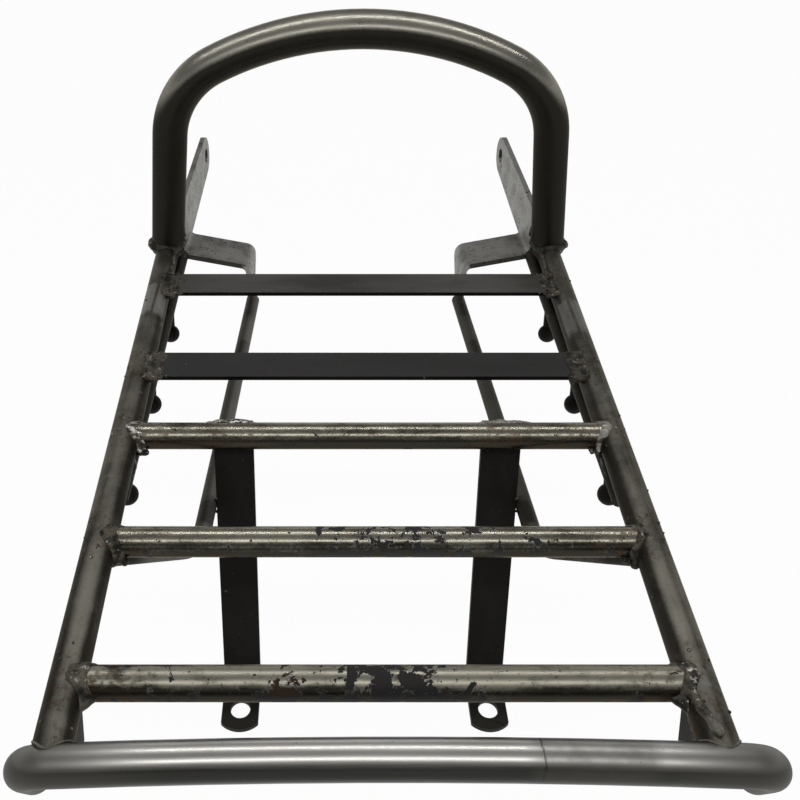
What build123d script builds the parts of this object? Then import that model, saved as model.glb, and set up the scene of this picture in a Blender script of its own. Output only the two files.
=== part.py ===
from build123d import *
import os
from math import asin, atan2, cos, hypot, radians, sin, sqrt, tan

# Luggage rack for a motorcycle, welded from round tube, round bar, flat bar and folded plate.
# X points to the right, Y forward and Z up. The origin lies midway between the bolt holes of the
# two rear feet, on the underside of the feet. Lengths are in millimetres and angles in degrees.

# Stance: the rails' axes above the feet, and the rear bar's axis behind the foot holes
deck_height = 166.0
rear_overhang = 117.0

# Side rails: round tube, a little further apart at the front. Halves run from the middle to an axis.
rail_d = 16.0
rail_wall = 1.8
rail_half_rear = 130.3
rail_half_front = 141.0
rail_length = 400.0

# Cross tubes: distances forward from the rear bar's axis
cross_d = 15.0
cross_wall = 1.5
first_cross = 33.0
cross_pitch = 77.0

# Flat slats, their tops a step below the tops of the rails: the front one behind the rails' front ends,
# the second one a share of the way from the third cross tube to it
slat_width = 24.0
slat_t = 3.0
slat_step = 1.5
front_slat_inset = 63.0
second_slat_share = 0.383

# Front hoop: leaning legs, corner bends and a wide crown, standing just behind the rails' front ends
hoop_d = 23.5
hoop_wall = 2.0
hoop_inset = 6.0
hoop_rise = 156.5
hoop_crown_r = 220.0
hoop_corner_r = 60.0
hoop_lean = 7.5

# Rear bar: its ends swept back a little, then turned down outside the rails. The bends are too tight for
# a hollow tube, so the bar is bored between them and solid beyond. It sits a little to the right.
bar_d = 16.6
bar_wall = 1.8
bar_overhang = 16.6
bar_offset = 4.4
bar_bow = 2.5
bar_bend_r = 14.0
bar_leg = 11.5
bar_chamfer = 1.5
bar_rake = 20.0

# Front brackets: 4 mm plate, toed in, with an ear ahead, a flange folded inward and a tail folded down
plate_t = 4.0
bracket_inset = 6.5
toe_in = 2.7
ear_top = 28.6
ear_fall = 9.0
ear_reach = 132.0
ear_end_r = 15.0
ear_hole_d = 12.0
flange_drop = 13.6
flange_fall = 9.0
flange_start = 9.0
flange_width = 33.0
flange_length = 50.5
fold_r = 6.0
tail_length = 35.0
tail_tip = 13.0

# Round bar of the lower rods and the struts
rod_d = 10.0
rod_start = 150.0
rod_inset = 0.5
strut_drop = 48.0
strut_knee = 146.0
strut_bend_r = 25.0
strut_end = 107.0

# Ball-ended hooks under the lower rods: the balls in line straight ahead, each one lower than the last
hook_first = 168.0
hook_pitch = 83.0
hook_inset = 0.3
hook_drop = 13.7
hook_fall = 3.5
hook_sweep = 5.0
hook_stem_d = 6.5
hook_ball_d = 12.6

# Rear straps of flat bar, their feet turned back under the deck
strap_half = 76.0
strap_width = 22.5
strap_t = 4.0
strap_bend_r = 6.0
strap_overrun = 5.0
foot_throat = 20.0
foot_toe = 13.4
foot_toe_rise = 4.5
foot_hole_d = 12.0

# Rear gussets: small plates under the rails against the rear bar
gusset_t = 5.0
gusset_inset = 1.5
gusset_reach = 31.0
gusset_drop = 26.0
gusset_foot = 9.0

# Welds: size of a fillet, and the gap at which welded bars lie side by side
weld_leg = 4.0
weld_gap = 0.1

# Values worked out from the sizes above
rail_r = rail_d / 2
cross_r = cross_d / 2
hoop_r = hoop_d / 2
bar_r = bar_d / 2
rod_r = rod_d / 2
rear_y = -rear_overhang
hoop_y = rear_y + rail_length - hoop_inset
cross_at = [first_cross + cross_pitch * step for step in range(3)]
front_slat = rail_length - front_slat_inset
second_slat = cross_at[2] + second_slat_share * (front_slat - cross_at[2])
slat_top = deck_height + rail_r - slat_step


def rail_half(distance):
    """Distance of a rail's axis from the middle plane, at a distance forward of the rear bar."""
    return rail_half_rear + (rail_half_front - rail_half_rear) * distance / rail_length


def wire_through(*points):
    """Straight run between two points."""
    with BuildLine() as run:
        Line(*points)
    return run.wire()


def round_bar(path, outer_d, wall=0.0):
    """Round bar along a path, or a tube where a wall is given."""
    with BuildPart() as bar:
        with BuildSketch(Plane(origin=path @ 0, z_dir=path % 0)):
            Circle(outer_d / 2)
            if wall:
                Circle(outer_d / 2 - wall, mode=Mode.SUBTRACT)
        sweep(path=path)
    return bar.part


def mirrored(piece):
    """The same piece for the other side of the rack."""
    with BuildPart() as other:
        mirror(piece, about=Plane.YZ)
    return other.part


def bead(centre, along, length, radius):
    """Weld bead: a low ridge of metal laid along a joint."""
    along = Vector(along).normalized()
    with BuildPart() as ridge:
        with BuildSketch(Plane(origin=Vector(centre) - along * (length / 2), z_dir=along)):
            RegularPolygon(radius, 8)
        extrude(amount=length)
    return ridge.part


def fitted(lumps, *neighbours):
    """Weld metal that fills only the room its neighbours leave."""
    with BuildPart() as weld:
        for lump in lumps:
            add(lump)
        for neighbour in neighbours:
            add(neighbour, mode=Mode.SUBTRACT)
    return weld.part


def write(piece, label):
    """Name a finished piece and keep it as its own file."""
    piece.part.label = label
    export_step(piece.part, f"parts/{label}.step")


def write_pair(piece, label, *butts):
    """Keep a right-hand piece and its mirror image, each cut back to what it butts against."""
    with BuildPart() as right_piece:
        add(piece.part)
        for butt in butts:
            add(butt, mode=Mode.SUBTRACT)
    write(right_piece, f"right_{label}")
    with BuildPart() as left_piece:
        mirror(piece.part, about=Plane.YZ)
        for butt in butts:
            add(butt, mode=Mode.SUBTRACT)
    write(left_piece, f"left_{label}")


def write_welds(metal, label):
    """Keep the weld beads of one kind of joint, right and left, as one group."""
    with BuildPart() as group:
        add(metal)
        mirror(metal, about=Plane.YZ)
    write(group, label)


os.makedirs("parts", exist_ok=True)

# Rear bar
bar_half = rail_half_rear + bar_overhang
bar_run = bar_half - bar_bend_r
swept_y = rear_y - bar_bow
leg_y = swept_y + bar_bend_r * sin(radians(bar_rake))
leg_z = deck_height - bar_bend_r * cos(radians(bar_rake))

with BuildLine() as bar_axis:
    run = ThreePointArc(
        (bar_offset - bar_run, swept_y, deck_height),
        (bar_offset, rear_y, deck_height),
        (bar_offset + bar_run, swept_y, deck_height),
    )
    right_elbow = TangentArc(run @ 1, (bar_offset + bar_half, leg_y, leg_z), tangent=run % 1)
    left_elbow = TangentArc(run @ 0, (bar_offset - bar_half, leg_y, leg_z), tangent=(run % 0) * -1)
    right_leg = Line(right_elbow @ 1, right_elbow @ 1 + (right_elbow % 1) * bar_leg)
    left_leg = Line(left_elbow @ 1, left_elbow @ 1 + (left_elbow % 1) * bar_leg)

bar_core = round_bar(bar_axis.wire(), bar_d)

with BuildPart() as rear_bar:
    add(bar_core)
    chamfer(rear_bar.faces().sort_by(Axis.Z)[:2].edges(), bar_chamfer)
    add(round_bar(Wire(run), bar_d - 2 * bar_wall), mode=Mode.SUBTRACT)
write(rear_bar, "rear_bar")

# Side rails, their rear ends coped to the rear bar
rail_axis = wire_through(
    (rail_half_rear, rear_y, deck_height), (rail_half_front, rear_y + rail_length, deck_height)
)
right_rail_core = round_bar(rail_axis, rail_d)
left_rail_core = mirrored(right_rail_core)

with BuildPart() as rail:
    add(round_bar(rail_axis, rail_d, rail_wall))
write_pair(rail, "rail", bar_core)

# Cross tubes, both ends coped to the rails
cross_names = ["fifth_cross_tube", "fourth_cross_tube", "third_cross_tube"]
cross_cores = []
for name, distance in zip(cross_names, cross_at):
    half = rail_half(distance)
    axis = wire_through((-half, rear_y + distance, deck_height), (half, rear_y + distance, deck_height))
    cross_cores.append(round_bar(axis, cross_d))
    with BuildPart() as cross_tube:
        add(round_bar(axis, cross_d, cross_wall))
        add(right_rail_core, mode=Mode.SUBTRACT)
        add(left_rail_core, mode=Mode.SUBTRACT)
    write(cross_tube, name)

# Flat slats, their ends coped to the rails
slats = []
for name, distance in (("second_slat", second_slat), ("front_slat", front_slat)):
    with BuildPart() as slat:
        with Locations((0, rear_y + distance, slat_top)):
            Box(2 * rail_half(distance), slat_width, slat_t, align=(Align.CENTER, Align.CENTER, Align.MAX))
        add(right_rail_core, mode=Mode.SUBTRACT)
        add(left_rail_core, mode=Mode.SUBTRACT)
    slats.append(slat.part)
    write(slat, name)

# Front hoop. A corner bend touches the leg's line and, from inside, the crown's circle.
hoop_half = rail_half(rail_length - hoop_inset)
leg_up = Vector(-sin(radians(hoop_lean)), cos(radians(hoop_lean)))
leg_in = Vector(-leg_up.Y, leg_up.X)
leg_foot = Vector(hoop_half, deck_height)
crown_centre = Vector(0, deck_height + hoop_rise - hoop_crown_r)
reach = leg_foot + leg_in * hoop_corner_r - crown_centre
along_leg = reach.dot(leg_up)
inner_r = hoop_crown_r - hoop_corner_r
leg_length = sqrt(along_leg**2 - reach.dot(reach) + inner_r**2) - along_leg
corner_centre = leg_foot + leg_in * hoop_corner_r + leg_up * leg_length
leg_end = leg_foot + leg_up * leg_length
crown_end = crown_centre + (corner_centre - crown_centre).normalized() * hoop_crown_r


def across(point):
    """The matching point on the hoop's left half."""
    return (-point.X, point.Y)


with BuildLine(Plane.XZ.offset(-hoop_y)) as hoop_axis:
    right_side = Line((leg_foot.X, leg_foot.Y), (leg_end.X, leg_end.Y))
    right_corner = TangentArc(
        (leg_end.X, leg_end.Y), (crown_end.X, crown_end.Y), tangent=Vector(leg_up.X, 0, leg_up.Y)
    )
    crown = ThreePointArc(
        (crown_end.X, crown_end.Y), (0, deck_height + hoop_rise), across(crown_end)
    )
    left_corner = TangentArc(
        across(leg_end), across(crown_end), tangent=Vector(-leg_up.X, 0, leg_up.Y)
    )
    left_side = Line(across(leg_foot), across(leg_end))

hoop_core = round_bar(hoop_axis.wire(), hoop_d)

with BuildPart() as front_hoop:
    add(round_bar(hoop_axis.wire(), hoop_d, hoop_wall))
    add(right_rail_core, mode=Mode.SUBTRACT)
    add(left_rail_core, mode=Mode.SUBTRACT)
write(front_hoop, "front_hoop")

# Front brackets. The ear lies in the plate's own plane, set against the rail's front end and the leg.
ahead = Vector(-sin(radians(toe_in)), cos(radians(toe_in)), 0)
inward = Vector(-cos(radians(toe_in)), -sin(radians(toe_in)), 0)
bracket_root = Vector(rail_half_front - bracket_inset, rear_y + rail_length, deck_height)
plate_plane = Plane(origin=bracket_root, x_dir=ahead, z_dir=inward * -1)
flange_end = flange_start + flange_width
flange_under = flange_drop + plate_t / 2
fold_top = flange_under - fold_r - plate_t
ear_z = ear_top - ear_end_r
slope_run = hypot(ear_reach - flange_end, ear_z + flange_drop)
slope = atan2(ear_z + flange_drop, ear_reach - flange_end) - asin(ear_end_r / slope_run)
ear_heel = (ear_reach + ear_end_r * sin(slope), ear_z - ear_end_r * cos(slope))
fold_plane = Plane(origin=bracket_root + ahead * flange_start, x_dir=inward, z_dir=ahead)
tail_top = flange_drop + flange_fall
tail_foot = tail_top + tail_length

with BuildPart() as bracket:
    with BuildSketch(plate_plane):
        with BuildLine():
            Polyline(
                (ear_reach, ear_top),
                (0, ear_top - ear_fall),
                (0, -fold_top),
                (flange_end, -fold_top),
                (flange_end, -flange_drop),
                ear_heel,
            )
            ThreePointArc(ear_heel, (ear_reach + ear_end_r, ear_z), (ear_reach, ear_top))
        make_face()
        with Locations((ear_reach, ear_z)):
            Circle(ear_hole_d / 2, mode=Mode.SUBTRACT)
    extrude(amount=plate_t / 2, both=True)
    with BuildSketch(fold_plane):
        with BuildLine():
            FilletPolyline(
                (0, -fold_top + plate_t),
                (0, -flange_drop),
                (flange_length, -tail_top),
                (flange_length, -tail_foot),
                radius=fold_r,
            )
        trace(line_width=plate_t)
    extrude(amount=flange_width)
    with BuildSketch(plate_plane.offset(-flange_length)):
        with BuildLine():
            Polyline(
                (flange_end, -tail_top - plate_t / 2 - fold_r),
                (flange_end, -tail_foot - plate_t),
                (flange_start + tail_tip, -tail_foot - plate_t),
                (flange_start + tail_tip, -tail_foot),
                close=True,
            )
        make_face()
    extrude(amount=plate_t, both=True, mode=Mode.SUBTRACT)
    add(hoop_core, mode=Mode.SUBTRACT)
    add(right_rail_core, mode=Mode.SUBTRACT)
write_pair(bracket, "front_bracket")

# Lower rods: each lies level against the rail's underside and butts against the bracket's fold in front
rod_below = sqrt((rail_r + rod_r + weld_gap) ** 2 - rod_inset**2)
rod_rear = Vector(rail_half(rod_start) - rod_inset, rear_y + rod_start, deck_height - rod_below)
rod_front = bracket_root + ahead * flange_start - Vector(0, 0, rod_below)
rod_axis = wire_through(rod_rear, rod_front)

with BuildPart() as lower_rod:
    add(round_bar(rod_axis, rod_d))
    add(bracket.part, mode=Mode.SUBTRACT)
    add(right_rail_core, mode=Mode.SUBTRACT)
    add(cross_cores[2], mode=Mode.SUBTRACT)
write_pair(lower_rod, "lower_rod")

# Ball-ended hooks, turned in one piece, their stems coped to the lower rods
ball_r = hook_ball_d / 2
stem_r = hook_stem_d / 2

for step, name in enumerate(("rear_hook", "middle_hook", "front_hook")):
    share = (hook_first + step * hook_pitch + hook_sweep - rod_start) / (rod_front.Y - rod_rear.Y)
    root = rod_rear + (rod_front - rod_rear) * share
    hook_lean = rail_half(hook_first) - hook_inset - root.X
    hook_reach = Vector(hook_lean, -hook_sweep, -hook_drop - hook_fall * step)
    hook_down = hook_reach.normalized()
    hook_aside = hook_down.cross(Vector(1, 0, 0))
    neck = hook_reach.length - sqrt(ball_r**2 - stem_r**2)
    with BuildPart() as hook:
        with BuildSketch(Plane(origin=root, x_dir=hook_down, z_dir=hook_aside)):
            with BuildLine():
                Polyline((hook_reach.length + ball_r, 0), (0, 0), (0, stem_r), (neck, stem_r))
                ThreePointArc(
                    (neck, stem_r), (hook_reach.length, ball_r), (hook_reach.length + ball_r, 0)
                )
            make_face()
        revolve(axis=Axis(root, hook_down))
        add(lower_rod.part, mode=Mode.SUBTRACT)
    write_pair(hook, name)

# Rear straps. Each leaves its foot and lies against the front of the third cross tube.
third_y = rear_y + cross_at[2]
strap_bend = (foot_throat, strap_t / 2)
lean_run = hypot(third_y - strap_bend[0], deck_height - strap_bend[1])
lean = atan2(deck_height - strap_bend[1], third_y - strap_bend[0])
lean -= asin((cross_r + strap_t / 2) / lean_run)
strap_run = sqrt(lean_run**2 - (cross_r + strap_t / 2) ** 2) + strap_overrun
strap_tip = (strap_bend[0] + strap_run * cos(lean), strap_bend[1] + strap_run * sin(lean))
foot_side = strap_width / 2

with BuildPart() as strap:
    with BuildSketch(Plane.YZ.offset(strap_half)):
        with BuildLine():
            FilletPolyline((0, strap_t / 2), strap_bend, strap_tip, radius=strap_bend_r)
        trace(line_width=strap_t)
    extrude(amount=foot_side, both=True)
    with BuildSketch(Plane.XY):
        with BuildLine():
            Polyline(
                (strap_half - foot_side, foot_toe_rise - foot_toe),
                (strap_half - foot_side, foot_toe_rise),
                (strap_half + foot_side, foot_toe_rise),
                (strap_half + foot_side, foot_toe_rise - foot_toe),
            )
            ThreePointArc(
                (strap_half + foot_side, foot_toe_rise - foot_toe),
                (strap_half, -foot_toe),
                (strap_half - foot_side, foot_toe_rise - foot_toe),
            )
        make_face()
    extrude(amount=strap_t)
    with Locations((strap_half, 0, strap_t)):
        Hole(foot_hole_d / 2)
    add(cross_cores[2], mode=Mode.SUBTRACT)
write_pair(strap, "rear_strap")

# Struts: from the bracket's tail, past the strap's outer edge, to the underside of the rail
tail_corner = bracket_root + ahead * flange_start + inward * (flange_length + plate_t / 2)
strut_front = tail_corner - Vector(0, 0, tail_foot - rod_r)
beside_share = (deck_height - strut_drop - strap_bend[1]) / (strap_tip[1] - strap_bend[1])
beside_strap = Vector(
    strap_half + foot_side + rod_r + weld_gap,
    strap_bend[0] + beside_share * (strap_tip[0] - strap_bend[0]),
    deck_height - strut_drop,
)
knee_share = (strut_front.Y - rear_y - strut_knee) / (strut_front.Y - beside_strap.Y)
knee = strut_front + (beside_strap - strut_front) * knee_share
strut_tip = Vector(rail_half(strut_end), rear_y + strut_end, deck_height - rail_r)

with BuildLine() as strut_axis:
    FilletPolyline(strut_front + ahead, knee, strut_tip, radius=strut_bend_r)

with BuildPart() as strut:
    add(round_bar(strut_axis.wire(), rod_d))
    add(bracket.part, mode=Mode.SUBTRACT)
    add(right_rail_core, mode=Mode.SUBTRACT)
    add(cross_cores[1], mode=Mode.SUBTRACT)
write_pair(strut, "strut")

# Rear gussets: plates on edge, coped to the rail above them and the rear bar behind them
gusset_x = rail_half_rear - gusset_inset

with BuildPart() as gusset:
    with BuildSketch(Plane.YZ.offset(gusset_x)):
        with BuildLine():
            Polyline(
                (rear_y, deck_height),
                (rear_y + gusset_reach, deck_height),
                (rear_y + gusset_reach, deck_height - rail_r),
                (rear_y + gusset_reach - gusset_foot, deck_height - gusset_drop),
                (rear_y + gusset_foot, deck_height - gusset_drop),
                (rear_y, deck_height - bar_r),
                close=True,
            )
        make_face()
    extrude(amount=gusset_t / 2, both=True)
    add(right_rail_core, mode=Mode.SUBTRACT)
    add(cross_cores[0], mode=Mode.SUBTRACT)
write_pair(gusset, "rear_gusset", bar_core)

# Welds along the ends of the slats
slat_welds = []
for slat, distance in zip(slats, (second_slat, front_slat)):
    root = (rail_half(distance) - rail_r, rear_y + distance, slat_top - slat_t / 2)
    lump = bead(root, (0, 1, 0), slat_width + weld_leg, weld_leg)
    slat_welds.append(fitted([lump], slat, right_rail_core))
write_welds(slat_welds, "slat_welds")

# Welds between the brackets' ears and the hoop's legs
ear_side = bracket_root + ahead * hoop_inset + inward * (plate_t / 2) + Vector(0, 0, ear_top / 2)
ear_bead = bead(ear_side, (leg_up.X, 0, leg_up.Y), ear_top - ear_fall, weld_leg)
write_welds([fitted([ear_bead], bracket.part, hoop_core)], "bracket_welds")

# Welds above and below the struts, on the outer edges of the straps
strut_touch = beside_strap - Vector(rod_r + weld_gap, 0, 0)
strut_beads = []
for side in (1, -1):
    height = side * (rod_r - weld_leg / 4)
    corner = strut_touch + Vector(0, height / tan(lean), height)
    strut_beads.append(bead(corner, (0, 1, 0), strap_t, 0.75 * weld_leg))
write_welds([fitted(strut_beads, strut.part, strap.part)], "strut_welds")

# Welds above and below the line where the straps touch the third cross tube
strap_up = Vector(0, cos(lean), sin(lean))
strap_face = Vector(0, -sin(lean), cos(lean))
touch = Vector(strap_half, *strap_tip) - strap_up * strap_overrun + strap_face * (strap_t / 2)
upper_bead = bead(touch + strap_up * weld_leg, (1, 0, 0), strap_width - weld_leg, weld_leg)
lower_bead = bead(touch - strap_up * weld_leg, (1, 0, 0), strap_width - weld_leg, weld_leg)
write_welds([fitted([upper_bead, lower_bead], strap.part, cross_cores[2])], "strap_welds")

# Welds on the inner faces of the gussets, under the rails
gusset_free = first_cross - cross_r - bar_r
gusset_side = Vector(
    gusset_x - gusset_t / 2, rear_y + bar_r + gusset_free / 2, deck_height - rail_r
)
gusset_bead = bead(gusset_side, (0, 1, 0), gusset_free - weld_leg, 0.5 * weld_leg)
write_welds([fitted([gusset_bead], gusset.part, right_rail_core)], "gusset_welds")
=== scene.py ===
"""Looks of a worn, welded motorcycle luggage rack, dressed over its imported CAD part."""

import random
from functools import cache, reduce
from math import cos, pi, radians, sin, sqrt, tau
from operator import or_

import bmesh
import bpy
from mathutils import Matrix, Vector


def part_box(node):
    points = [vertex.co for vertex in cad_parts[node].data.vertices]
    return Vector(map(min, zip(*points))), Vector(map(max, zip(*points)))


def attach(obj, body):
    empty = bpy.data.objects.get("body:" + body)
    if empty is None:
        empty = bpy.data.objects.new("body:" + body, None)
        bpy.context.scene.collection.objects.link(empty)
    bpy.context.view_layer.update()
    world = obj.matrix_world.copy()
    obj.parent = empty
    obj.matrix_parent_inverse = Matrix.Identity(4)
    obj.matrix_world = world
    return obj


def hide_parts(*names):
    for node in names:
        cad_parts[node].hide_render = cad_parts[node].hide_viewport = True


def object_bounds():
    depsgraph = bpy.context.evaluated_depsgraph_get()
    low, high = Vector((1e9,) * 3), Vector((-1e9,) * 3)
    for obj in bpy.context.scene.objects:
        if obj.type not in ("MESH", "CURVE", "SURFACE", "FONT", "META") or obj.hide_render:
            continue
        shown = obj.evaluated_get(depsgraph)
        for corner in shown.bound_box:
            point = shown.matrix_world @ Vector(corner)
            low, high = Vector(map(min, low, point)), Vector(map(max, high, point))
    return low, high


bl_info = {
    "name": "Worn luggage rack",
    "version": (1, 0, 0),
    "blender": (4, 5, 0),
    "location": "3D View > Sidebar > Rack",
    "description": "Dresses the CAD part as a worn, welded luggage rack and lights it",
    "category": "Object",
}

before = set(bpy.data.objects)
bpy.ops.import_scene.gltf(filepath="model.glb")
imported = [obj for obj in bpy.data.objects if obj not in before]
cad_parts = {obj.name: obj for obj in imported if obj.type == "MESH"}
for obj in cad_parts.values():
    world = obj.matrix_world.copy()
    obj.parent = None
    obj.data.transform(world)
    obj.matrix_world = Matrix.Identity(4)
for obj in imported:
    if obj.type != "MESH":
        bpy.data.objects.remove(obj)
CAD_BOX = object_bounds()
MM = 0.001
SIDES = {"left": -1, "right": 1}
CROSS_TUBES = ("third_cross_tube", "fourth_cross_tube", "fifth_cross_tube")
SLATS = ("front_slat", "second_slat")
HOOKS = ("rear_hook", "middle_hook", "front_hook")

# Skins of the CAD solids: points merged, flat faces joined, creases kept and edges rounded
MERGE_REACH = 2e-6
FLAT_ANGLE = radians(0.5)
CREASE_ANGLE = radians(32)
BEVEL_ANGLE = radians(40)
BEVEL_WIDTH = 0.5 * MM

# Wear and painted light seen in the photograph: places along the rails, then across the rear bar and the
# cross tubes.
# The rails' painted lamp sheen has its middle, the left rail's painted side sheen its start, and a painted
# lamp reflection has its rail's side, its two ends and its strength.
PAINTED_LAMP_SHEEN_Y = -48 * MM
PAINTED_FLANK_SHEEN_Y = -30 * MM
PAINTED_REFLECTIONS = ((-1, 178 * MM, 217 * MM, 1.0), (1, 156 * MM, 196 * MM, 0.6))
DULL_X = 80 * MM
LAP_X = 59 * MM
FIFTH_BARE_X = 4.5 * MM
FIFTH_THIN_X = 8 * MM
FIFTH_BROWN_X = -41 * MM
FIFTH_DIM_X = -105 * MM
FOURTH_BARE_X = 16 * MM

# Tint of a dull metal's grazing reflections
DARK_RIM = (0.6, 0.58, 0.53, 1.0)

# Joints: the hoop's axis behind the rails' front ends, and the bow of the rear bar
HOOP_INSET = 6 * MM
BAR_BOW = 2.5 * MM

# Weld metal: steps round a ring, collars on the cross tubes' ends, webs in their corners, and lumps behind,
# each with its reach inward, its way back and its fall in millimetres, and its share of a bead
RING_STEPS = 40
HOOP_STEPS = 56
COLLAR_RINGS = 5
COLLAR_REACH = {-1: 5.5 * MM, 1: 3.5 * MM}
WEB_ROWS = 6
WEB_SINK = 1.5 * MM
TUBE_BEADS = {"third_cross_tube": 0.85, "fourth_cross_tube": 1.05}
HANGING_LUMPS = ((0.5, 2.5, 3.0, 1.15), (4.5, 1.0, 4.5, 0.9))

# Spatter: spread along a rail from each joint, and the turn round it in degrees, from its inner side
SPATTER_SPREAD = 11 * MM
SPATTER_TURN = (20, 150)


def tint(name, description, default):
    """A colour that a user can set."""
    return bpy.props.FloatVectorProperty(
        name=name, description=description, default=default, subtype="COLOR", min=0, max=1)


def length(name, description, default):
    """A length that a user can set."""
    return bpy.props.FloatProperty(name=name, description=description, default=default, unit="LENGTH")


def share(name, description, default):
    """A share that a user can set, from 0 to 1."""
    return bpy.props.FloatProperty(
        name=name, description=description, default=default, subtype="FACTOR", min=0, max=1)


def spot(name, description, default):
    """A place that a user can set."""
    return bpy.props.FloatVectorProperty(
        name=name, description=description, default=default, subtype="TRANSLATION")


class FinishSettings(bpy.types.PropertyGroup):
    """Colours of the rack's finishes."""

    # The rails' dark colour: grime, and painted shade on their sides and undersides.
    tube_dark: tint("Rail, dark", "Grime on the satin rails", (0.026, 0.023, 0.018))
    # The rails' pale colour, used for their painted highlight and lamp sheen.
    tube_pale: tint("Rail, pale", "Handled parts of the satin rails", (0.19, 0.18, 0.152))
    # Used for painted shade on the hoop's legs and underside, the cross tubes' undersides, the rods under
    # the rails, the brackets and the welds' undersides, and for dark specks, pits, pores and gussets.
    hoop_dark: tint("Hoop, dark", "Sooty legs and underside of the hoop", (0.0155, 0.0137, 0.0102))
    # The painted highlight on the hoop's crown.
    hoop_pale: tint("Hoop, rubbed", "Rubbed top of the hoop", (0.27, 0.259, 0.221))
    # Also the painted lamp reflections across the rails.
    bare_metal: tint("Bare metal", "Scraped places and scratches", (0.36, 0.36, 0.35))
    # Also the painted shade on the rear bar's underside.
    bar_dark: tint("Rear bar, dark", "Underside and dull film of the polished bar", (0.03, 0.03, 0.027))
    # The painted highlight on the rear bar's top.
    bar_pale: tint("Rear bar, pale", "Polished top of the rear bar", (0.54, 0.527, 0.497))
    # Also the painted highlight band on the cross tubes' tops.
    plating: tint("Plating", "Silvery plating left on the cross tubes", (0.31, 0.295, 0.238))
    # The painted shade on the cross tubes' undersides, and the colour of their pits.
    tarnish: tint("Tarnish", "Dull plating on the cross tubes' undersides", (0.032, 0.0295, 0.022))
    stripped: tint("Under the plating", "Dark steel where the plating has flaked off", (0.025, 0.025, 0.026))
    front_paint: tint("Front slat", "Faded paint on the front slat", (0.076, 0.07, 0.0625))
    slat_paint: tint("Second slat", "Satin paint on the second slat", (0.0225, 0.0225, 0.0222))
    # Also the painted shade along the slats' edges.
    black_paint: tint("Black paint", "Paint on straps, gussets and hooks", (0.0065, 0.0055, 0.0043))
    paint_dust: tint("Dust on paint", "Dull film on the black paint", (0.026, 0.0235, 0.019))
    # Also the painted light on the left strut's inner side.
    plate_pale: tint("Plate, pale", "Matte zinc grey of the brackets", (0.37, 0.365, 0.345))
    # Also the painted shade on the brackets' flat faces and the painted light on the straps' feet.
    plate_dark: tint("Plate, dark", "Stains on the brackets, and the rods", (0.075, 0.071, 0.06))
    weld_dark: tint("Weld, dark", "Sooty weld metal", (0.018, 0.016, 0.0125))
    weld_pale: tint("Weld, pale", "Painted-over weld metal", (0.15, 0.137, 0.108))
    # Painted glints and highlights: on the weld's crests, the hoop's crown and a weld's top.
    spark: tint("Bright specks", "Bright crests of the weld metal", (0.55, 0.54, 0.5))
    rust: tint("Rust", "Thin brown rust", (0.075, 0.039, 0.019))


class WeldSettings(bpy.types.PropertyGroup):
    """Sizes of the weld metal."""

    bead: length("Bead radius", "Radius of a full weld bead", 2.6 * MM)
    spacing: length("Blob spacing", "Distance between blobs along a bead", 1.5 * MM)
    wander: share("Wander", "How far a blob strays, as a share of its radius", 0.28)
    grain: length("Grain", "Size of the finest form in the metal", 0.65 * MM)
    relief: length("Relief", "Depth of the pores and ridges", 1.2 * MM)
    spatter: bpy.props.IntProperty(
        name="Spatter", description="Drops of spatter beside each weld", default=9, min=0)
    drop: length("Drop radius", "Radius of the largest drop", 0.9 * MM)
    seed: bpy.props.IntProperty(name="Seed", description="Seed of the blobs and drops", default=7)


class StageSettings(bpy.types.PropertyGroup):
    """Floor, lamps and camera."""

    floor_size: length("Floor size", "Width of the floor with its raised rim", 12.0)
    floor_flat: length("Flat floor", "Width of the flat part of the floor", 9.0)
    floor_rim: length("Rim height", "Height of the floor's raised rim", 2.2)
    floor_colour: tint("Floor colour", "Plain pale floor", (0.9, 0.9, 0.9))
    floor_glow: share("Floor glow", "How much of the seen floor is its own even white", 0.97)
    room_light: bpy.props.FloatProperty(
        name="Room light", description="Strength of the even light", default=0.2, min=0)
    lamp_power: bpy.props.FloatProperty(
        name="Lamp power", description="Power of each strip lamp", default=1.6, unit="POWER")
    lamp_length: length("Lamp length", "Length of each strip lamp", 1.0)
    lamp_width: length("Lamp width", "Width of each strip lamp", 0.03)
    front_lamp: spot("Front lamp", "Place of the lamp over the hoop", (0.0, 0.285, 0.72))
    rear_lamp: spot("Rear lamp", "Place of the lamp over the rear bar", (0.0, -0.374, 0.77))
    lens: bpy.props.FloatProperty(name="Lens", description="Focal length in millimetres", default=38.25)
    shift: bpy.props.FloatProperty(name="Shift", description="Sideways shift of the image", default=0.0925)
    tilt: bpy.props.FloatProperty(
        name="Tilt", description="Camera's pitch below the horizon", default=radians(39.5), subtype="ANGLE")
    eye: spot("Eye", "Camera's place", (-0.0235, -0.282, 0.482))


def math_node(operation, swapped=False):
    """A method that adds a Math node."""

    def method(self, other=0.0):
        first, second = (other, self) if swapped else (self, other)
        return self.graph.node("ShaderNodeMath", {"operation": operation}, {0: first, 1: second})

    return method


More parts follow.
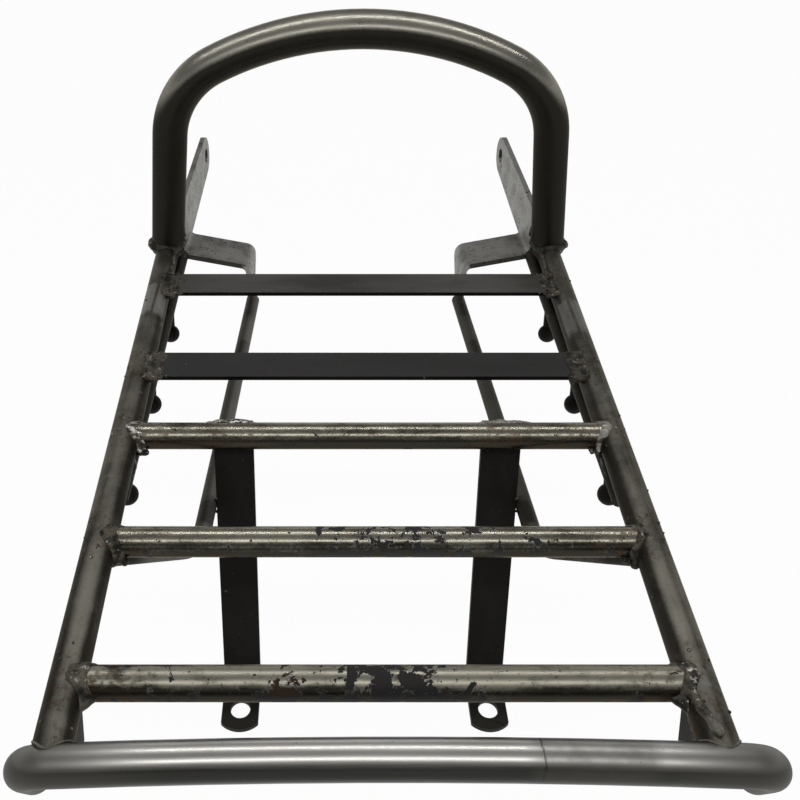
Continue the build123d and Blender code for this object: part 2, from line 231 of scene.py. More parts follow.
class Value:
    """An output socket in a node tree, with arithmetic that adds Math nodes; | is the greater of two."""

    def __init__(self, graph, socket):
        self.graph = graph
        self.socket = socket

    __add__ = __radd__ = math_node("ADD")
    __sub__ = math_node("SUBTRACT")
    __rsub__ = math_node("SUBTRACT", swapped=True)
    __mul__ = __rmul__ = math_node("MULTIPLY")
    __rtruediv__ = math_node("DIVIDE", swapped=True)
    __abs__ = math_node("ABSOLUTE")
    __or__ = math_node("MAXIMUM")

    def between(self, low, high, start=0.0, end=1.0):
        """A smooth step from start, at low, to end, at high."""
        return self.graph.node(
            "ShaderNodeMapRange", {"interpolation_type": "SMOOTHSTEP"},
            {"Value": self, "From Min": low, "From Max": high, "To Min": start, "To Max": end})

    def below(self, low, high):
        """1 up to low, falling to 0 at high."""
        return self.between(low, high, 1.0, 0.0)

    def near(self, middle, inner, outer):
        """1 within inner of a middle value, falling to 0 at outer."""
        return abs(self - middle).below(inner, outer)


class Graph:
    """A node tree under construction."""

    def __init__(self, tree):
        self.tree = tree

    @staticmethod
    def find(sockets, key):
        """A socket by its place, identifier or name."""
        if isinstance(key, int):
            return sockets[key]
        for socket in sockets:
            if socket.identifier == key:
                return socket
        return sockets[key]

    def feed(self, socket, value):
        """Links a value to a socket, or sets the socket to a number, vector or colour."""
        if isinstance(value, Value):
            self.tree.links.new(value.socket, socket)
        elif socket.type == "RGBA":
            socket.default_value = (*value[:3], 1.0)
        else:
            socket.default_value = value

    def node(self, kind, settings=None, sockets=None, output=0):
        """Adds a node: its settings first, then its sockets."""
        made = self.tree.nodes.new(kind)
        for name, value in (settings or {}).items():
            setattr(made, name, value)
        for key, value in (sockets or {}).items():
            self.feed(self.find(made.inputs, key), value)
        return Value(self, self.find(made.outputs, output))

    def scaled(self, vector, factor):
        """A vector made longer or shorter."""
        return self.node("ShaderNodeVectorMath", {"operation": "SCALE"}, {0: vector, "Scale": factor})


class Paint(Graph):
    """A material under construction, patterned in the part's own coordinates."""

    def __init__(self, name):
        self.material = bpy.data.materials.new(name)
        self.material.use_nodes = True
        super().__init__(self.material.node_tree)
        self.shader = self.tree.nodes["Principled BSDF"]
        self.place = self.node("ShaderNodeTexCoord", output="Object")
        self.x, self.y, self.z = self.split(self.place)
        self.across, self.ahead, self.up = self.split(self.node("ShaderNodeTexCoord", output="Normal"))

    def split(self, vector):
        """A vector's three parts."""
        return [self.node("ShaderNodeSeparateXYZ", sockets={0: vector}, output=axis) for axis in "XYZ"]

    def noise(self, size, detail=4.0, rough=0.55, stretch=None, twist=0.0):
        """Cloudy noise whose lumps are about that size, in millimetres."""
        where = self.place
        if stretch:
            where = self.node("ShaderNodeMapping", sockets={"Vector": where, "Scale": stretch})
        return self.node(
            "ShaderNodeTexNoise", {"noise_dimensions": "3D"},
            {"Vector": where, "Scale": 1 / (size * MM), "Detail": detail, "Roughness": rough,
             "Distortion": twist})

    def pits(self, size, low, high):
        """Scattered spots, about that many millimetres apart: 1 inside low, 0 outside high."""
        size = size * MM
        jitter = self.node(
            "ShaderNodeTexNoise", sockets={"Vector": self.place, "Scale": 1.6 / size}, output="Color")
        where = self.node(
            "ShaderNodeVectorMath", {"operation": "ADD"},
            {0: self.place, 1: self.scaled(jitter, 0.7 * size)})
        spots = self.node(
            "ShaderNodeTexVoronoi", {"feature": "F1"}, {"Vector": where, "Scale": 1 / size}, "Distance")
        return spots.below(low, high)

    def mix(self, factor, first, second):
        """Blends two colours."""
        return self.node(
            "ShaderNodeMix", {"data_type": "RGBA"},
            {"Factor_Float": factor, "A_Color": first, "B_Color": second}, "Result_Color")

    def base(self, factor, first, second):
        """Starts the colour as a blend of two."""
        self.colour = self.mix(factor, first, second)

    def lay(self, mask, colour):
        """Lays a colour over what is there."""
        self.colour = self.mix(mask, self.colour, colour)

    def finish(self, roughness, metallic, height, depth, **constants):
        """Feeds the shader, with bumps of a depth in millimetres."""
        normal = self.node(
            "ShaderNodeBump", sockets={"Height": height, "Distance": depth * MM, "Strength": 1.0})
        feeds = {"Base Color": self.colour, "Roughness": roughness, "Metallic": metallic, "Normal": normal}
        for name, value in feeds.items():
            self.feed(self.shader.inputs[name], value)
        for name, value in constants.items():
            self.shader.inputs[name.replace("_", " ")].default_value = value


class Growth(Graph):
    """A Geometry Nodes tree under construction, with named inputs."""

    def __init__(self, name, **inputs):
        super().__init__(bpy.data.node_groups.new(name, "GeometryNodeTree"))
        for title, kind in {"Geometry": "Geometry", **inputs, "Material": "Material"}.items():
            self.tree.interface.new_socket(title, in_out="INPUT", socket_type=f"NodeSocket{kind}")
        self.tree.interface.new_socket("Geometry", in_out="OUTPUT", socket_type="NodeSocketGeometry")
        self.inputs = self.tree.nodes.new("NodeGroupInput").outputs

    def given(self, name):
        """One of the tree's inputs."""
        return Value(self, self.inputs[name])

    def radius(self):
        """The radius that each point carries."""
        return self.node(
            "GeometryNodeInputNamedAttribute", {"data_type": "FLOAT"}, {"Name": "bead_radius"}, "Attribute")

    def moved(self, geometry, **sockets):
        """Geometry with its points moved."""
        return self.node("GeometryNodeSetPosition", sockets={"Geometry": geometry, **sockets})

    def finish(self, geometry):
        """Makes the result real, smooth and coloured, and gives back the tree."""
        real = self.node("GeometryNodeRealizeInstances", sockets={"Geometry": geometry})
        smooth = self.node("GeometryNodeSetShadeSmooth", sockets={0: real})
        coloured = self.node(
            "GeometryNodeSetMaterial", sockets={"Geometry": smooth, "Material": self.given("Material")})
        self.tree.links.new(coloured.socket, self.tree.nodes.new("NodeGroupOutput").inputs[0])
        return self.tree


def centre_of(node):
    """Middle of a CAD node's box."""
    low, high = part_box(node)
    return (low + high) / 2


def span_of(node):
    """Size of a CAD node's box."""
    low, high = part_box(node)
    return high - low


class RackPlan:
    """Places and sizes of the rack's joints, read from the CAD nodes' boxes."""

    def __init__(self):
        low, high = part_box("right_rail")
        self.rail_r = (high.z - low.z) / 2
        self.deck = (high.z + low.z) / 2
        self.rail_rear = low.x + self.rail_r
        self.rail_front = high.x - self.rail_r
        self.rear_y = low.y
        self.front_y = high.y
        self.bar_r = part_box("rear_bar")[1].z - self.deck
        self.bar_x = centre_of("rear_bar").x
        self.bar_half = span_of("rear_bar").x / 2
        self.cross = {node: centre_of(node).y for node in CROSS_TUBES}
        self.cross_r = span_of("third_cross_tube").z / 2
        self.slat = {node: centre_of(node).y for node in SLATS}
        self.slat_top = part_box("front_slat")[1].z
        self.slat_t = span_of("front_slat").z
        self.slat_half = span_of("front_slat").y / 2
        self.hoop_r = span_of("front_hoop").x / 2 - self.rail_front
        self.hoop_y = self.front_y - HOOP_INSET
        self.hoop_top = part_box("front_hoop")[1].z
        self.strap_x = centre_of("right_rear_strap").x
        self.strap_half = span_of("right_rear_strap").x / 2

    def rail_x(self, y):
        """Half the distance between the rails' axes, at a place along the rack."""
        part = (y - self.rear_y) / (self.front_y - self.rear_y)
        return self.rail_rear + (self.rail_front - self.rail_rear) * part

    def beside(self, side, y, inset, rise=0.0):
        """A place that far inside a rail's axis and above it."""
        return (side * (self.rail_x(y) - inset), y, self.deck + rise)


PLAN = RackPlan()


def worn_tube(paint, hues):
    """Rails and hoop: satin brown-grey, painted highlights and lamp reflections on top, painted shade below,
    joint rust.
    """
    cloud = paint.noise(26, 5)
    streak = paint.noise(3, 3, stretch=(1.0, 0.06, 1.0))
    grain = paint.noise(1.3, 3, 0.6)
    blotch = paint.noise(11, 4, 0.6)
    patchy = cloud * 0.35 + blotch * 0.3 + streak * 0.2 + grain * 0.15 - 0.5
    inward = paint.across * paint.x.between(-MM, MM, 1.0, -1.0)
    # Painted highlight: the top of each rail, tilted a little inward, is made paler where the lamps' light
    # would fall.
    painted_highlight = (0.985 * paint.up + 0.17 * inward).between(0.78, 0.985)
    # Painted sheen: the lower outer side of each rail is made paler, all along the right rail and on the
    # left one from a given place on.
    painted_flank_sheen = (0.0 - inward).between(-0.05, 0.35) * paint.up.between(-0.25, 0.2)
    painted_flank_sheen = painted_flank_sheen * (paint.x.between(-MM, MM) | paint.y.between(PAINTED_FLANK_SHEEN_Y, PAINTED_FLANK_SHEEN_Y + 40 * MM))
    # Painted lamp sheen: the rails' painted light is strongest in a band along them where the lamps'
    # reflection falls.
    painted_lamp_sheen = paint.y.near(PAINTED_LAMP_SHEEN_Y, 18 * MM, 44 * MM)
    # The rails' colour: painted highlight and sheen over random patchy tone; the rest is painted shade.
    painted_sheen_and_tone = (0.12 + 0.64 * (painted_highlight | painted_flank_sheen * 0.85)) * (0.72 + 0.28 * painted_lamp_sheen) + 2.2 * patchy
    paint.base(painted_sheen_and_tone.between(0.0, 1.0), hues.tube_dark, hues.tube_pale)
    hoop = paint.z.between(PLAN.deck + PLAN.rail_r, PLAN.deck + PLAN.rail_r + 3 * MM)
    crown = paint.z.between(PLAN.hoop_top - 95 * MM, PLAN.hoop_top - 30 * MM)
    # Painted light on the hoop: its crown is paler where it faces up, and its legs and the crown's underside
    # are painted dark as shade, over cloudy tone.
    painted_hoop_light_and_tone = paint.up.between(0.16, 0.46) * crown + 0.08 * cloud
    painted_hoop_light_and_tone = painted_hoop_light_and_tone * (0.62 + 0.5 * grain) + 0.12 * (cloud + grain - 1.0)
    paint.lay(hoop, paint.mix(painted_hoop_light_and_tone.between(0.0, 1.0), hues.hoop_dark, hues.hoop_pale))
    # Painted highlight on the far side of the hoop's crown.
    painted_far_highlight = hoop * crown * paint.ahead.between(0.2, 0.7) * paint.up.between(0.3, 0.7)
    paint.lay(painted_far_highlight * 0.4, hues.spark)
    # Painted lamp reflections across the rails, each with a thin unpainted line along the rail.
    ragged = paint.y + (paint.noise(5, 4) - 0.5) * (12 * MM)
    painted_reflections = []
    for side, start, end, strength in PAINTED_REFLECTIONS:
        across = paint.x * side - PLAN.rail_x((start + end) / 2)
        inside = ragged.between(start, start + 9 * MM) * ragged.below(end - MM, end + MM)
        inside = inside * across.near(0.0, 8 * MM, 11 * MM)
        inside = inside * (1.0 - across.near(-1.2 * MM, 0.5 * MM, 1.3 * MM))
        painted_reflections.append(inside * paint.up.between(0.25, 0.5) * strength)
    scrape_and_painted_reflection = reduce(or_, painted_reflections) * (0.45 + 0.5 * paint.noise(4, 4))
    paint.lay(scrape_and_painted_reflection * 0.8, hues.bare_metal)
    scuff = paint.noise(9, 6, 0.65, twist=0.4).between(0.62, 0.74) * (1.0 - hoop)
    paint.lay(scuff * 0.3, hues.bare_metal)
    speck = paint.noise(2.2, 3).between(0.68, 0.75)
    paint.lay(speck * 0.75, hues.hoop_dark)
    joints = (*PLAN.cross.values(), *PLAN.slat.values(), PLAN.rear_y + 10 * MM, PLAN.hoop_y)
    joint = reduce(or_, [paint.y.near(y, 6 * MM, 24 * MM) for y in joints])
    rust = joint * (1.0 - hoop) * paint.noise(4, 5, 0.7).between(0.5, 0.66)
    paint.lay(rust * 0.5, hues.rust)
    rough = 0.36 + 0.28 * cloud + 0.2 * rust - 0.2 * crown
    height = (grain * 0.6 + blotch * 0.4 - speck * 0.4) * (1.0 + 0.1 * crown)
    paint.finish(rough, 0.8, height, 0.08, Specular_Tint=DARK_RIM)


def polished_bar(paint, hues):
    """Rear bar: painted highlight on top, painted shade below, dull ends, a dull patch, a lap mark and fine
    scratches.
    """
    film = paint.noise(30, 4, stretch=(0.35, 1.0, 1.0))
    scratch = paint.noise(1.2, 2, stretch=(0.02, 1.0, 1.0))
    grain = paint.noise(1.1, 2)
    # Painted highlight on the bar's top and painted shade on its underside, over a streaky film.
    painted_sheen_and_tone = paint.up.between(0.56, 0.95) * 0.9 + (film + scratch * 0.5 - 0.75) * 0.4
    paint.base(painted_sheen_and_tone.between(0.0, 1.0), hues.bar_dark, hues.bar_pale)
    ends = abs(paint.x - PLAN.bar_x).between(PLAN.bar_half - 72 * MM, PLAN.bar_half - 14 * MM)
    dull = paint.x.near(DULL_X, 18 * MM, 30 * MM) * (0.3 + 1.2 * paint.noise(9, 5, 0.62))
    paint.lay((ends * 0.75) | (dull * 0.5), hues.plate_dark)
    lap = (paint.x + (paint.noise(6, 3) - 0.5) * (5 * MM)).near(LAP_X, 0.2 * MM, 0.8 * MM)
    paint.lay(lap * 0.6, hues.bar_dark)
    speck = paint.noise(2.4, 3).between(0.71, 0.76)
    paint.lay(speck * 0.6, hues.stripped)
    rough = 0.23 + 0.1 * film + 0.06 * scratch + 0.22 * ends + 0.1 * dull
    height = scratch * 0.5 + grain * 0.5 - lap
    paint.finish(rough, 0.92, height, 0.015)


def flaked_plating(paint, hues):
    """Cross tubes: silvery plating, painted highlight on top, painted shade below, ragged dark flakes with
    pale lips.
    """
    third, fourth, fifth = (paint.y.near(PLAN.cross[node], 10 * MM, 14 * MM) for node in CROSS_TUBES)
    half_along = (0.5, 1.0, 1.0)
    stain = paint.noise(15, 5, stretch=half_along)
    grain = paint.noise(1.2, 3, 0.6)
    streak = paint.noise(1.6, 3, stretch=(0.06, 1.0, 1.0))
    dash = paint.noise(7, 5, 0.6, stretch=half_along).between(0.36, 0.6)
    # Painted highlight band on the tubes' tops, broken into dashes, lower on the third tube, with some
    # painted light on the fourth tube's lower side and dimmed at the fifth tube's left end; the rest is
    # painted shade.
    painted_highlight_band = paint.up.between(0.5, 0.95) * (1.0 - third - 0.38 * fourth)
    painted_highlight_band = (painted_highlight_band + 0.75 * third * paint.up.between(0.3, 0.78)) * (0.7 + 0.45 * dash)
    painted_highlight_band = painted_highlight_band + 0.22 * fourth * paint.up.between(-0.2, 0.5)
    dim_end = fifth * paint.x.below(FIFTH_DIM_X, FIFTH_DIM_X + 55 * MM)
    painted_highlight_band = painted_highlight_band - dim_end * (0.5 - 0.35 * dash)
    painted_sheen_and_tone = painted_highlight_band + (stain + 0.5 * (grain + streak) - 1.0) * 1.1 - 0.08
    paint.base(painted_sheen_and_tone.between(0.0, 1.0), hues.tarnish, hues.plating)
    brown = paint.x.near(FIFTH_BROWN_X, 3 * MM, 11 * MM) * paint.up.between(0.1, 0.45)
    bare_fifth = paint.x.near(FIFTH_BARE_X, 16 * MM, 28 * MM) * 0.12
    bare_fifth = bare_fifth + paint.x.near(FIFTH_THIN_X, 20 * MM, 80 * MM) * 0.05 + brown * 0.15
    bare_fourth = paint.x.near(FOURTH_BARE_X, 14 * MM, 70 * MM) * 0.12
    worn = fifth * bare_fifth + fourth * bare_fourth + paint.up.between(-0.1, 0.5, 0.06, 0.0) - 0.04 * third
    flake = paint.noise(12, 7, 0.66, twist=0.6) + worn
    fleck = (paint.noise(4.5, 5, 0.62) + worn * 0.55).between(0.655, 0.675)
    gone = flake.between(0.632, 0.642) | fleck
    lip = flake.between(0.595, 0.632) * (1.0 - gone) * (fifth | fourth) * paint.up.between(0.2, 0.6)
    paint.lay(lip * 0.4, hues.bare_metal)
    paint.lay(gone, hues.stripped)
    end = abs(paint.x).between(PLAN.rail_rear - 46 * MM, PLAN.rail_rear - 8 * MM)
    strap_top = third * abs(paint.x).near(PLAN.strap_x, 8 * MM, 26 * MM)
    rust = (end | strap_top) * paint.noise(4, 5, 0.7).between(0.47, 0.63)
    rust = rust | gone * paint.noise(3, 4).between(0.58, 0.7) | gone * fifth * brown
    paint.lay(rust * 0.6, hues.rust)
    pit = paint.noise(1.7, 3, 0.6).between(0.62, 0.7)
    paint.lay(pit * 0.6, hues.tarnish)
    # Painted shade on the tubes' undersides.
    under = paint.up.below(-0.6, 0.05)
    paint.lay(under * 0.8, hues.hoop_dark)
    rough = 0.17 + 0.12 * stain + 0.06 * grain + 0.1 * fifth + 0.3 * gone + 0.2 * rust
    height = grain * 0.3 - gone - 0.3 * pit
    paint.finish(rough, (0.92 - 0.5 * gone) | under, height, 0.07, Specular_Tint=DARK_RIM)


def slat_paint(paint, hues):
    """Slats: smooth satin paint, faded brown on the front one, painted shade along the edges, with a few
    chips.
    """
    film = paint.noise(70, 5, stretch=(0.7, 2.4, 1.0))
    paint.base(paint.y.near(PLAN.slat["front_slat"], 14 * MM, 20 * MM), hues.slat_paint, hues.front_paint)
    paint.lay(film.between(0.38, 0.72, 0.0, 0.7), hues.black_paint)
    # Painted shade on the faces that don't face up: the slats' edges.
    edge = paint.up.below(0.3, 0.8)
    paint.lay(edge, hues.black_paint)
    chip = paint.noise(2.6, 4, 0.6).between(0.7, 0.74)
    paint.lay(chip * 0.5, hues.bare_metal)
    rust = paint.noise(9, 6, 0.7).between(0.66, 0.76)
    paint.lay(rust * 0.35, hues.rust)
    rough = 0.4 + 0.16 * film + 0.15 * rust
    paint.finish(rough, 0.15 + 0.85 * edge, paint.noise(1.6, 3) - chip * 0.5, 0.03)


def black_paint(paint, hues):
    """Straps, gussets and hooks: near-black brownish paint with a dull film, chips and a little rust."""
    film = paint.noise(22, 5, stretch=(1.0, 1.0, 0.4))
    paint.base(film.between(0.4, 0.8, 0.0, 0.6), hues.black_paint, hues.paint_dust)
    # Painted light: the straps' feet near the floor are made paler.
    painted_foot_light = paint.z.below(5 * MM, 12 * MM)
    paint.lay(painted_foot_light * 0.5, hues.plate_dark)
    chip = paint.noise(2.8, 4, 0.6).between(0.7, 0.74)
    paint.lay(chip * 0.35, hues.bare_metal)
    rust = paint.noise(8, 6, 0.7).between(0.6, 0.74)
    paint.lay(rust * 0.3, hues.rust)
    fifth_y = PLAN.cross["fifth_cross_tube"]
    gusset = paint.y.below(fifth_y + 14 * MM, fifth_y + 18 * MM)
    gusset = gusset * abs(paint.x).between(PLAN.rail_rear - 26 * MM, PLAN.rail_rear - 22 * MM)
    paint.lay(gusset * 0.7, hues.hoop_dark)
    rough = 0.5 + 0.2 * film + 0.15 * rust
    height = paint.noise(1.8, 4) - chip * 0.5
    paint.finish(rough, 0.05 + 0.95 * gusset, height, 0.06, Specular_IOR_Level=0.12)


def pitted_plate(paint, hues):
    """Brackets: pale matte grey with stains, dark pits and rust specks; painted shade on flat faces and
    behind the rails' ends.
    """
    stain = paint.noise(18, 6, 0.6)
    # Painted shade: the flat faces, up or down, are darker than the upright ones.
    flat = abs(paint.up).between(0.5, 0.95)
    paint.base(stain.between(0.4, 0.75, 0.0, 0.5) + flat * 0.33, hues.plate_pale, hues.plate_dark)
    pitted = paint.pits(4, 0.16, 0.27) * paint.noise(13, 3).between(0.44, 0.54)
    paint.lay(pitted * 0.85, hues.hoop_dark)
    rust = paint.noise(4.5, 5, 0.7).between(0.62, 0.7)
    paint.lay(rust * 0.55, hues.rust)
    scratch = paint.noise(1.5, 2, stretch=(1.0, 0.05, 0.5)).between(0.62, 0.7)
    paint.lay(scratch * 0.2, hues.bare_metal)
    tail_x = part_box("right_front_bracket")[0].x
    # Painted shade on the rear-facing faces behind the rails' ends.
    shaded = paint.ahead.below(-0.9, -0.6) * abs(paint.x).between(tail_x + 5 * MM, tail_x + 9 * MM)
    paint.lay(shaded * 0.9, hues.hoop_dark)
    rough = 0.5 + 0.22 * stain + 0.1 * rust
    paint.finish(rough, 0.6 + 0.4 * shaded, paint.noise(1.2, 4) * 0.4 - pitted, 0.12)


def dull_rod(paint, hues):
    """Rods and struts: dull mottled grey, painted light on top and the left strut's inner side, painted
    shade under the rails.
    """
    stain = paint.noise(11, 6, 0.6)
    fine = paint.noise(2.2, 3)
    # Painted light: the rods' tops are paler, over mottled tone.
    painted_sheen_and_tone = (stain * 0.6 + fine * 0.3 + 0.22 * paint.up.between(0.0, 0.9)).between(0.32, 0.6)
    paint.base(painted_sheen_and_tone, hues.weld_dark, hues.plate_dark)
    # Painted light on the left strut's inner side.
    lit = paint.across.between(-0.1, 0.5) * paint.x.below(-MM, MM)
    paint.lay(lit * 0.3, hues.plate_pale)
    # Painted shade on the rods where they lie under the rails.
    painted_rail_shade = abs(paint.x).between(PLAN.rail_rear - 18 * MM, PLAN.rail_rear - 10 * MM)
    paint.lay(painted_rail_shade * 0.95, hues.hoop_dark)
    scrape_and_painted_reflection = paint.noise(6, 5, 0.65).between(0.62, 0.7)
    paint.lay(scrape_and_painted_reflection * 0.3, hues.bare_metal)
    rust = paint.noise(5, 5, 0.7).between(0.6, 0.7)
    paint.lay(rust * 0.45, hues.rust)
    rough = 0.45 + 0.25 * stain + 0.1 * rust
    paint.finish(rough, 0.6, fine * 0.5 + stain * 0.5, 0.12, Specular_Tint=DARK_RIM)


def weld_metal(paint, hues):
    """Painted-over weld: mottled, painted glints on its crests, dark pores, rust; darker at the hoop,
    painted shade below.
    """
    cloud = paint.noise(5, 5)
    paint.base(cloud.between(0.34, 0.68), hues.weld_dark, hues.weld_pale)
    rust = paint.noise(5, 6, 0.7).between(0.5, 0.66)
    paint.lay(rust * 0.45, hues.rust)
    darker_at_hoop = paint.y.near(PLAN.hoop_y, 9 * MM, 20 * MM)
    burnt = paint.y.near(PLAN.cross["fourth_cross_tube"] - 4 * MM, 9 * MM, 15 * MM)
    burnt = burnt * cloud.between(0.6, 0.4)
    # Painted shade on the weld's undersides and below the deck.
    lower = paint.up.below(-0.2, 0.35) | paint.z.below(PLAN.deck - 3 * MM, PLAN.deck + 2 * MM)
    paint.lay((darker_at_hoop * 0.8) | (lower * 0.7) | (burnt * 0.7), hues.hoop_dark)
    slats = reduce(or_, [paint.y.near(y, 16 * MM, 20 * MM) for y in PLAN.slat.values()])
    paint.lay(slats * 0.3, hues.tube_dark)
    third = paint.y.near(PLAN.cross["third_cross_tube"] - 4 * MM, 8 * MM, 12 * MM)
    speckled = third * paint.x.below(0.0, MM) * paint.up.between(0.1, 0.5)
    # Painted glints on the weld's crests, more on upward faces and in a patch at the third tube's left end.
    crest = paint.noise(2.4, 4, 0.62) + 0.1 * paint.up + 0.1 * speckled
    patch = paint.noise(15, 2).between(0.46, 0.58) | speckled
    spark = crest.between(0.64, 0.74) * patch * (1.0 - 0.6 * darker_at_hoop) * (1.0 - 0.5 * slats)
    paint.lay(spark * 0.85, hues.spark)
    # Painted sheen on the top of the weld at the third tube's right end.
    painted_sheen_patch = third * paint.x.between(0.0, MM) * paint.up.between(0.35, 0.65) * cloud.between(0.3, 0.5)
    paint.lay(painted_sheen_patch * 0.4, hues.spark)
    pore = paint.noise(1.7, 3).between(0.63, 0.7)
    paint.lay(pore * 0.9, hues.hoop_dark)
    seat = paint.y.below(PLAN.rear_y + 11 * MM, PLAN.rear_y + 14 * MM)
    paint.lay(seat * 0.75, hues.tube_pale)
    rough = 0.34 + 0.3 * cloud + 0.15 * rust - 0.12 * spark
    paint.finish(rough, 0.8, paint.noise(1.2, 5), 0.22)


@cache
def finish_of(make):
    """The material of a finish, made the first time that a piece asks for it."""
    paint = Paint(f"{make.__name__}_finish")
    make(paint, bpy.context.scene.rack_finishes)
    return paint.material


def put(name, data):
    """Adds an object to the scene."""
    made = bpy.data.objects.new(name, data)
    bpy.context.scene.collection.objects.link(made)
    return made


def add_piece(name, mesh, material, slot, *nodes):
    """Puts a finished mesh in the scene, riding on the rack and standing for its CAD nodes."""
    piece = put(name, mesh)
    mesh.materials.clear()
    mesh.materials.append(material)
    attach(piece, "root")
    if nodes:
        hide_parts(*nodes)
    return piece


def merged(node):
    """A CAD node's loose triangles as one joined form."""
    form = bmesh.new()
    form.from_mesh(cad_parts[node].data)
    bmesh.ops.remove_doubles(form, verts=form.verts, dist=MERGE_REACH)
    return form


def skin(node, make, slot, edge=0.0):
    """A smooth copy of a CAD node in a finish, with its sharp edges rounded where a width is given."""
    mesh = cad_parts[node].data.copy()
    mesh.name = f"{node}_skin"
    form = merged(node)
    if edge:
        bmesh.ops.dissolve_limit(form, angle_limit=FLAT_ANGLE, verts=form.verts, edges=form.edges)
    form.to_mesh(mesh)
    form.free()
    if "custom_normal" in mesh.attributes:
        mesh.attributes.remove(mesh.attributes["custom_normal"])
    mesh.shade_smooth()
    mesh.set_sharp_from_angle(angle=CREASE_ANGLE)
    piece = add_piece(f"{node}_skin", mesh, finish_of(make), slot, node)
    if edge:
        rounding = piece.modifiers.new("Rounded edges", "BEVEL")
        rounding.width = edge
        rounding.segments = 3
        rounding.limit_method = "ANGLE"
        rounding.angle_limit = BEVEL_ANGLE
        rounding.harden_normals = True


def lump_tree():
    """Geometry Nodes that build weld metal along paths, from uneven blobs melted into one skin."""
    growth = Growth(
        "Weld lumps", Spacing="Float", Wander="Float", Grain="Float", Relief="Float", Seed="Int")
    seed = growth.given("Seed")
    grain = growth.given("Grain")
    radius = growth.radius()
    curve = growth.node("GeometryNodeMeshToCurve", sockets={0: growth.given("Geometry")})
    blobs = growth.node(
        "GeometryNodeCurveToPoints", {"mode": "LENGTH"},
        {"Curve": curve, "Length": growth.given("Spacing")})
    stray = growth.node(
        "FunctionNodeRandomValue", {"data_type": "FLOAT_VECTOR"},
        {"Min": (-1.0, -1.0, -1.0), "Max": (1.0, 1.0, 1.0), "Seed": seed}, "Value")
    blobs = growth.moved(blobs, Offset=growth.scaled(stray, radius * growth.given("Wander")))
    uneven = growth.node(
        "FunctionNodeRandomValue", {"data_type": "FLOAT"},
        {"Min_001": 0.75, "Max_001": 1.2, "Seed": seed + 1}, "Value_001")
    cloud = growth.node(
        "GeometryNodePointsToVolume", {"resolution_mode": "VOXEL_SIZE"},
        {"Points": blobs, "Voxel Size": grain, "Radius": radius * uneven})
    metal = growth.node("GeometryNodeVolumeToMesh", sockets={"Volume": cloud})
    place = growth.node("GeometryNodeInputPosition")
    eased = growth.node(
        "GeometryNodeBlurAttribute", {"data_type": "FLOAT_VECTOR"}, {0: place, "Iterations": 9})
    metal = growth.moved(metal, Position=eased)
    ridges = growth.node(
        "ShaderNodeTexNoise", {"noise_dimensions": "4D"},
        {"Vector": place, "W": seed, "Scale": 0.25 / grain, "Detail": 2.0})
    push = growth.scaled(growth.node("GeometryNodeInputNormal"), (ridges - 0.5) * growth.given("Relief"))
    return growth.finish(growth.moved(metal, Offset=push))


def drop_tree():
    """Geometry Nodes that put a small drop of metal on each point."""
    growth = Growth("Weld spatter")
    points = growth.node("GeometryNodeMeshToPoints", sockets={0: growth.given("Geometry")})
    drop = growth.node("GeometryNodeMeshIcoSphere", sockets={"Radius": 1.0, "Subdivisions": 2})
    return growth.finish(growth.node(
        "GeometryNodeInstanceOnPoints",
        sockets={"Points": points, "Instance": drop, "Scale": growth.radius()}))


def path_mesh(name, runs):
    """A mesh of runs of weld: each has its points, their radius or radii, and True where it closes."""
    mesh = bpy.data.meshes.new(name)
    points = []
    edges = []
    radii = []
    for path, sizes, *closed in runs:
        first = len(points)
        points.extend(path)
        radii.extend(sizes if isinstance(sizes, list) else [sizes] * len(path))
        edges.extend((first + i, first + i + 1) for i in range(len(path) - 1))
        if closed:
            edges.append((first + len(path) - 1, first))
    mesh.from_pydata(points, edges, [])
    mesh.attributes.new("bead_radius", "FLOAT", "POINT").data.foreach_set("value", radii)
    return mesh


def add_weld(name, runs, tree, *nodes, **inputs):
    """Adds the piece of weld metal that a node tree makes of runs, standing for its CAD nodes."""
    finish = finish_of(weld_metal)
    inputs["Material"] = finish
    carrier = put(name, path_mesh(name, runs))
    growth = carrier.modifiers.new("Growth", "NODES")
    growth.node_group = tree
    for socket in tree.interface.items_tree:
        if socket.in_out == "INPUT" and socket.name in inputs:
            growth[socket.identifier] = inputs[socket.name]
    graph = bpy.context.evaluated_depsgraph_get()
    mesh = bpy.data.meshes.new_from_object(carrier.evaluated_get(graph))
    bpy.data.objects.remove(carrier)
    if not mesh.polygons:
        raise RuntimeError(f"{name} came out empty")
    mesh.name = name
    add_piece(name, mesh, finish, "weld_metal", *nodes)


def line(start, end, count=12):
    """Points on a straight path."""
    start = Vector(start)
    end = Vector(end)
    return [tuple(start.lerp(end, step / (count - 1))) for step in range(count)]


def swelling(radius, count, ends=0.45):
    """Radii that swell from both ends of a path to its middle."""
    return [radius * (ends + (1 - ends) * sin(pi * step / (count - 1))) for step in range(count)]


def turn(steps):
    """Cosine and sine of even steps round a full turn."""
    return [(cos(tau * step / steps), sin(tau * step / steps)) for step in range(steps)]


def saddle(side, node, proud, out):
    """A ring where a cross tube meets its rail, proud of both and moved out along the tube."""
    path = []
    for ahead, up in turn(RING_STEPS):
        rise = (PLAN.cross_r + proud) * up
        y = PLAN.cross[node] + (PLAN.cross_r + proud) * ahead
        inset = sqrt(max(PLAN.rail_r**2 - rise**2, 0))
        path.append(PLAN.beside(side, y, inset + proud + out, rise))
    return path


